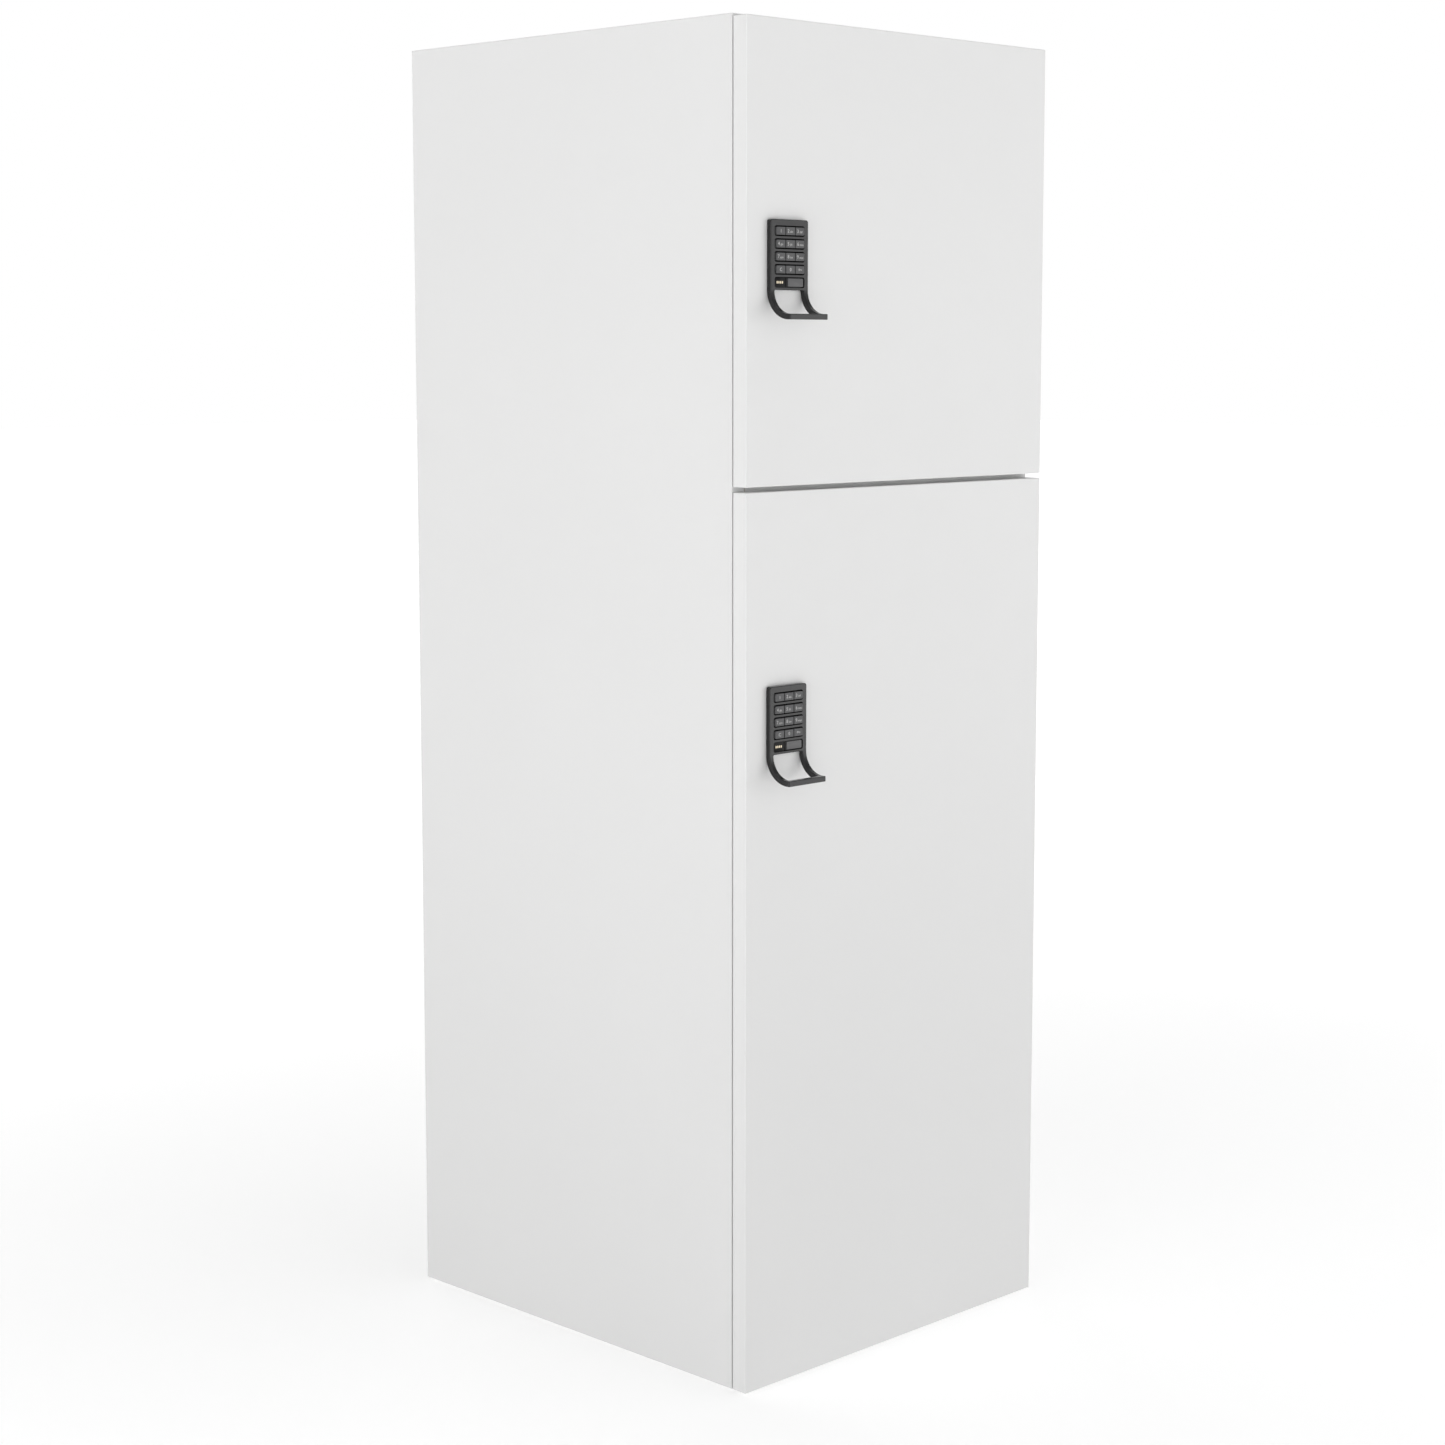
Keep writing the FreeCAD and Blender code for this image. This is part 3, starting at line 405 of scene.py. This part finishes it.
# each board: the axis across it, and its edges that carry a band
BOARDS = {"left_side_panel": (0, ("y-", "y+", "z-", "z+")), "right_side_panel": (0, ("y-", "y+", "z-", "z+")),
          "top_panel": (2, ("y-",)), "bottom_panel": (2, ("y-",)), "divider_panel": (2, ("y-",)),
          "upper_door_panel": (1, ("x-", "x+", "z-", "z+")), "lower_door_panel": (1, ("x-", "x+", "z-", "z+"))}
for _s in frame["record"]["subparts"]:
    _n = _s["node"]
    _m = board_material(_n, *BOARDS[_n]) if _n in BOARDS else M[SLOT[_s["material_slot"]]]
    NODES[_n].data.materials.clear()
    NODES[_n].data.materials.append(_m)


# -------------------------------------------------------------- piece helpers
def mesh_piece(name, bm, material, body, smooth=True):
    me = bpy.data.meshes.new(name)
    bmesh.ops.recalc_face_normals(bm, faces=bm.faces)
    bm.to_mesh(me)
    bm.free()
    o = bpy.data.objects.new(name, me)
    scene.collection.objects.link(o)
    me.materials.append(material)
    if smooth:
        for p in me.polygons:
            p.use_smooth = True
    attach(o, body)
    return o


def rounded_outline(xa, xb, za, zb, r, seg=6):
    """Points of a rounded rectangle in x, z; r is one radius or four (tl, tr, br, bl)."""
    rr = (r, r, r, r) if isinstance(r, (int, float)) else r
    pts = []
    for (cx, cz, a0, rad) in ((xb - rr[1], zb - rr[1], 0.0, rr[1]), (xa + rr[0], zb - rr[0], 90.0, rr[0]),
                              (xa + rr[3], za + rr[3], 180.0, rr[3]), (xb - rr[2], za + rr[2], 270.0, rr[2])):
        for i in range(seg + 1):
            a = math.radians(a0 + 90.0 * i / seg)
            pts.append((cx + rad * math.cos(a), cz + rad * math.sin(a)))
    return pts


def slab(bm, xa, xb, za, zb, r, yf, yb, bevel, seg=6):
    """Rounded plate facing -Y: yf is the front, yb the back, with a bevel round its front edge."""
    rings = []
    steps = [(yb, 0.0)] + [(yf + bevel * (1 - math.sin(a)), bevel * (1 - math.cos(a)))
                           for a in (0.0, math.pi / 8, math.pi / 4, 3 * math.pi / 8, math.pi / 2)]
    for y, inset in steps:
        rad = (max(r - inset, 0.00002) if isinstance(r, (int, float))
               else tuple(max(q - inset, 0.00002) for q in r))
        pts = rounded_outline(xa + inset, xb - inset, za + inset, zb - inset, rad, seg)
        rings.append([bm.verts.new((x, y, z)) for x, z in pts])
    n = len(rings[0])
    for a, b in zip(rings, rings[1:]):
        for i in range(n):
            bm.faces.new((a[i], a[(i + 1) % n], b[(i + 1) % n], b[i]))
    bm.faces.new(rings[0])
    bm.faces.new(rings[-1])


def text_mesh(text, size, extrude):
    cu = bpy.data.curves.new("t", "FONT")
    cu.body = text
    cu.size = size
    cu.extrude = extrude
    cu.offset = size * 0.012
    cu.align_x = "LEFT"
    cu.resolution_u = 3
    o = bpy.data.objects.new("t", cu)
    scene.collection.objects.link(o)
    bpy.context.view_layer.update()
    me = bpy.data.meshes.new_from_object(o.evaluated_get(bpy.context.evaluated_depsgraph_get()))
    bpy.data.objects.remove(o)
    bpy.data.curves.remove(cu)
    return me


def put_text(bm, text, size, x, z, y, extrude=0.00003, anchor="left"):
    """Adds text facing -Y, with the left end of its baseline (or its middle) at x, z."""
    me = text_mesh(text, size, extrude)
    xs = [v.co.x for v in me.vertices]
    zs = [v.co.y for v in me.vertices]
    w, h = max(xs) - min(xs), max(zs) - min(zs)
    dx = x - min(xs) - (w / 2 if anchor == "mid" else 0.0)
    dz = z - (min(zs) + h / 2 if anchor == "mid" else 0.0)
    mat = Matrix.Translation((dx, y, dz)) @ Matrix.Rotation(math.radians(90), 4, "X")
    me.transform(mat)
    bm.from_mesh(me)
    bpy.data.meshes.remove(me)
    return w, h


# ---------------------------------------------------------------- key legends
LETTERS = {"1": "", "2": "abc", "3": "def", "4": "ghi", "5": "jkl", "6": "mno", "7": "pqrs", "8": "tuv", "9": "wxyz",
           "0": "", "clear": "", "enter": ""}


def key_symbol(bm, x, z, y):
    """A small key: a ring, a shaft and two teeth."""
    t = 0.00003
    ro, ri, seg = 0.00105, 0.00055, 20
    ring = []
    for rad in (ro, ri):
        for yy in (y - t, y + t):
            ring.append([bm.verts.new((x - 0.0014 + rad * math.cos(2 * math.pi * i / seg), yy,
                                       z + 0.0004 + rad * math.sin(2 * math.pi * i / seg))) for i in range(seg)])
    of, ob, jf, jb = ring
    for i in range(seg):
        j = (i + 1) % seg
        bm.faces.new((of[i], of[j], jf[j], jf[i]))
        bm.faces.new((ob[i], jb[i], jb[j], ob[j]))
        bm.faces.new((of[i], ob[i], ob[j], of[j]))
        bm.faces.new((jf[i], jf[j], jb[j], jb[i]))
    for xa, xb, za, zb in ((-0.0004, 0.0023, 0.00018, 0.00062), (0.0009, 0.0013, -0.0006, 0.00020),
                           (0.0018, 0.0022, -0.0006, 0.00020)):
        slab(bm, x + xa, x + xb, z + za, z + zb, 0.00005, y - t, y + t, 0.00001, 1)


for name in ("upper", "lower"):
    for lab, small in LETTERS.items():
        lo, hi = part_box("%s_key_%s" % (name, lab))
        y = lo.y - 0.000008
        xc, zc = (lo.x + hi.x) / 2, (lo.z + hi.z) / 2
        bm = bmesh.new()
        if lab == "enter":
            key_symbol(bm, xc, zc - 0.0003, y)
        else:
            big = {"clear": "C"}.get(lab, lab)
            if small:
                long = len(small) == 4
                put_text(bm, big, 0.0047, xc - (0.0044 if long else 0.0041), zc - 0.0015, y)
                put_text(bm, small, 0.0027 if long else 0.0030, xc - (0.0013 if long else 0.0007), zc - 0.0015, y)
            else:
                put_text(bm, big, 0.0047, xc, zc, y, anchor="mid")
        bmesh.ops.remove_doubles(bm, verts=bm.verts, dist=1e-7)
        o = mesh_piece("%s_legend_%s" % (name, lab), bm, M["legend"], "%s_key_%s_cap" % (name, lab), smooth=False)

# -------------------------------------------------- display window of the lock
for name in ("upper", "lower"):
    body = name + "_door"
    lo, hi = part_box(name + "_display_window")
    yf = lo.y
    r = 2.15 * MM
    bm = bmesh.new()
    slab(bm, lo.x, hi.x, lo.z, hi.z, r, yf + 0.0011, hi.y, 0.00015)
    tray = mesh_piece(name + "_window_tray", bm, M["window"], body)
    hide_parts(name + "_display_window")
    # clear black part over the lights, divider and blank plate, each its own moulding
    xs, w = lo.x, hi.x - lo.x
    gap = 0.0007
    bm = bmesh.new()
    slab(bm, xs + 0.0001, xs + 0.0155, lo.z + 0.0001, hi.z - 0.0001, (r, 0.0001, 0.0001, r), yf + 0.0007, yf + 0.0011, 0.00012)
    mesh_piece(name + "_light_window", bm, M["window"], body)
    bm = bmesh.new()
    slab(bm, xs + 0.0158, xs + 0.0184, lo.z + gap, hi.z - gap, 0.0002, yf + 0.0004, yf + 0.0011, 0.00015)
    mesh_piece(name + "_window_divider", bm, M["pipe"], body)
    bm = bmesh.new()
    slab(bm, xs + 0.0188, hi.x - 0.0012, lo.z + gap + 0.0003, hi.z - gap - 0.0003, (0.0002, 0.0011, 0.0011, 0.0002), yf, yf + 0.0011, 0.00022)
    mesh_piece(name + "_blank_plate", bm, M["plate"], body)
    bm = bmesh.new()
    for i in range(4):
        x = xs + 0.0044 + i * 0.00245
        slab(bm, x - 0.0007, x + 0.0007, (lo.z + hi.z) / 2 - 0.0012, (lo.z + hi.z) / 2 + 0.0012, 0.00045, yf + 0.00045, yf + 0.0009, 0.0002, 3)
    mesh_piece(name + "_status_lights", bm, M["led"], body)

# ------------------------------------------- sealing gasket round each lock case
def gasket(name):
    """Flat rubber rim between the lock case and the door's back. It stands 2 mm out round the
    case and covers the pockets of the screws that hold the outer plate."""
    lo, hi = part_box(name + "_lock_case")
    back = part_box(name + "_door_panel")[1].y
    e, k, th, bv = 0.0020, 0.0006, 0.0008, 0.0002
    bm = bmesh.new()
    rings = []
    # profile of the rim, from its foot outside, over the top, to inside the case wall
    for grow, y, rad in ((e, back, 0.0050), (e, back + th - bv, 0.0050), (e - bv * 0.3, back + th - bv * 0.3, 0.0049),
                         (e - bv, back + th, 0.0048), (-k, back + th, 0.0026), (-k, back, 0.0026)):
        pts = rounded_outline(lo.x - grow, hi.x + grow, lo.z - grow, hi.z + grow, rad, 8)
        rings.append([bm.verts.new((x, y, z)) for x, z in pts])
    n = len(rings[0])
    for a, c in zip(rings, rings[1:] + rings[:1]):
        for i in range(n):
            bm.faces.new((a[i], a[(i + 1) % n], c[(i + 1) % n], c[i]))
    return mesh_piece(name + "_case_gasket", bm, M["rubber"], name + "_door", smooth=False)


for name in ("upper", "lower"):
    gasket(name)

# ------------------------------------------------------------------ the stage
ENV_BACK, ENV_FRONT = 0.42, 0.75
P_LEFT, P_FILL, P_TOP = 31.0, 10.5, 40.0

floor_bm = bmesh.new()
R = 30.0
vs = [floor_bm.verts.new(p) for p in ((-R, -R, 0), (R, -R, 0), (R, R, 0), (-R, R, 0))]
floor_bm.faces.new(vs)
fme = bpy.data.meshes.new("floor")
floor_bm.to_mesh(fme)
floor_bm.free()
floor = bpy.data.objects.new("floor", fme)
scene.collection.objects.link(floor)
fm, ft, fb = new_mat("pale_floor")
fb.inputs["Base Color"].default_value = (0.93, 0.93, 0.93, 1.0)
fb.inputs["Specular IOR Level"].default_value = 0.1
ft.links.new(ranged(ft, noise(ft, obj_coords(ft), 3.0, 3.0), 0.75, 0.85), fb.inputs["Roughness"])
# painted light: the floor glows by emission, weakest round the locker and rising to plain white away from it
fc = ft.nodes.new("ShaderNodeTexCoord")
fl = ft.nodes.new("ShaderNodeVectorMath")
fl.operation = "LENGTH"
ft.links.new(fc.outputs["Object"], fl.inputs[0])
fr = ft.nodes.new("ShaderNodeMapRange")
fr.interpolation_type = "SMOOTHSTEP"
fr.inputs["From Min"].default_value = 0.35
fr.inputs["From Max"].default_value = 5.0
fr.inputs["To Min"].default_value = 0.36
fr.inputs["To Max"].default_value = 0.90
ft.links.new(fl.outputs["Value"], fr.inputs["Value"])
ft.links.new(fr.outputs["Result"], fb.inputs["Emission Strength"])
fb.inputs["Emission Color"].default_value = (1.0, 1.0, 1.0, 1.0)
fme.materials.append(fm)

world = bpy.data.worlds.new("studio")
scene.world = world
world.use_nodes = True
wt = world.node_tree
wt.nodes.clear()
wout = wt.nodes.new("ShaderNodeOutputWorld")
bg_cam = wt.nodes.new("ShaderNodeBackground")
bg_cam.inputs[0].default_value = (1.0, 1.0, 1.0, 1.0)
bg_cam.inputs[1].default_value = 1.0
bg_env = wt.nodes.new("ShaderNodeBackground")
wc = wt.nodes.new("ShaderNodeTexCoord")
ws = wt.nodes.new("ShaderNodeSeparateXYZ")
wt.links.new(wc.outputs["Generated"], ws.inputs[0])
# the studio is brightest in front and to the right of the locker, and dim behind its left shoulder
def toward(v, a, b, lo, hi):
    d = wt.nodes.new("ShaderNodeVectorMath")
    d.operation = "DOT_PRODUCT"
    d.inputs[1].default_value = v
    wt.links.new(wc.outputs["Generated"], d.inputs[0])
    r = wt.nodes.new("ShaderNodeMapRange")
    r.interpolation_type = "SMOOTHSTEP"
    r.inputs["From Min"].default_value = a
    r.inputs["From Max"].default_value = b
    r.inputs["To Min"].default_value = lo
    r.inputs["To Max"].default_value = hi
    wt.links.new(d.outputs["Value"], r.inputs["Value"])
    return r.outputs["Result"]


env_sum = wt.nodes.new("ShaderNodeMath")
env_sum.operation = "MULTIPLY"
wt.links.new(toward((0.62, -0.78, 0.0), -0.9, 0.8, ENV_BACK, ENV_FRONT), env_sum.inputs[0])
wt.links.new(toward((0.0, 0.0, 1.0), 0.34, 0.62, 1.0, 0.45), env_sum.inputs[1])
bg_env.inputs[0].default_value = (1.0, 1.0, 1.0, 1.0)
wt.links.new(env_sum.outputs[0], bg_env.inputs[1])
lp = wt.nodes.new("ShaderNodeLightPath")
wmix = wt.nodes.new("ShaderNodeMixShader")
wt.links.new(lp.outputs["Is Camera Ray"], wmix.inputs[0])
wt.links.new(bg_env.outputs[0], wmix.inputs[1])
wt.links.new(bg_cam.outputs[0], wmix.inputs[2])
wt.links.new(wmix.outputs[0], wout.inputs[0])


def area(name, loc, target, size, power, colour=(1, 1, 1)):
    l = bpy.data.lights.new(name, "AREA")
    l.shape = "RECTANGLE"
    l.size, l.size_y = size
    l.energy = power
    l.color = colour
    o = bpy.data.objects.new(name, l)
    scene.collection.objects.link(o)
    o.location = loc
    o.rotation_euler = (Vector(target) - Vector(loc)).to_track_quat("-Z", "Y").to_euler()
    o.visible_camera = False
    return o


area("key_left", (-3.4, -0.6, 0.95), (0, 0, 0.45), (2.6, 1.7), P_LEFT)
area("fill_right", (2.0, -2.6, 0.80), (-0.15, -0.2, 0.50), (2.2, 1.4), P_FILL)
area("back_fill", (1.0, 3.4, 1.5), (0, 0.2, 0.7), (2.2, 1.8), 14.0)
area("top", (0.2, -0.3, 4.2), (0, 0, 0.6), (3.0, 3.0), P_TOP)

cam_data = bpy.data.cameras.new("camera")
cam = bpy.data.objects.new("camera", cam_data)
scene.collection.objects.link(cam)
scene.camera = cam
cam_data.sensor_width = 36.0
cam_data.lens = 69.06
cam_data.shift_y = -0.03
cam_data.clip_start, cam_data.clip_end = 0.05, 200.0
cam_data.dof.use_dof = False
yaw, pitch = 0.7867, 0.1186
cam.location = (-2.1237, -2.0958, 1.0388)
cam.rotation_euler = (math.pi / 2 - pitch, 0.0, -yaw)

scene.view_settings.view_transform = "Standard"
scene.view_settings.look = "None"
scene.view_settings.exposure = 0.0
scene.view_settings.gamma = 1.0

bpy.context.view_layer.update()
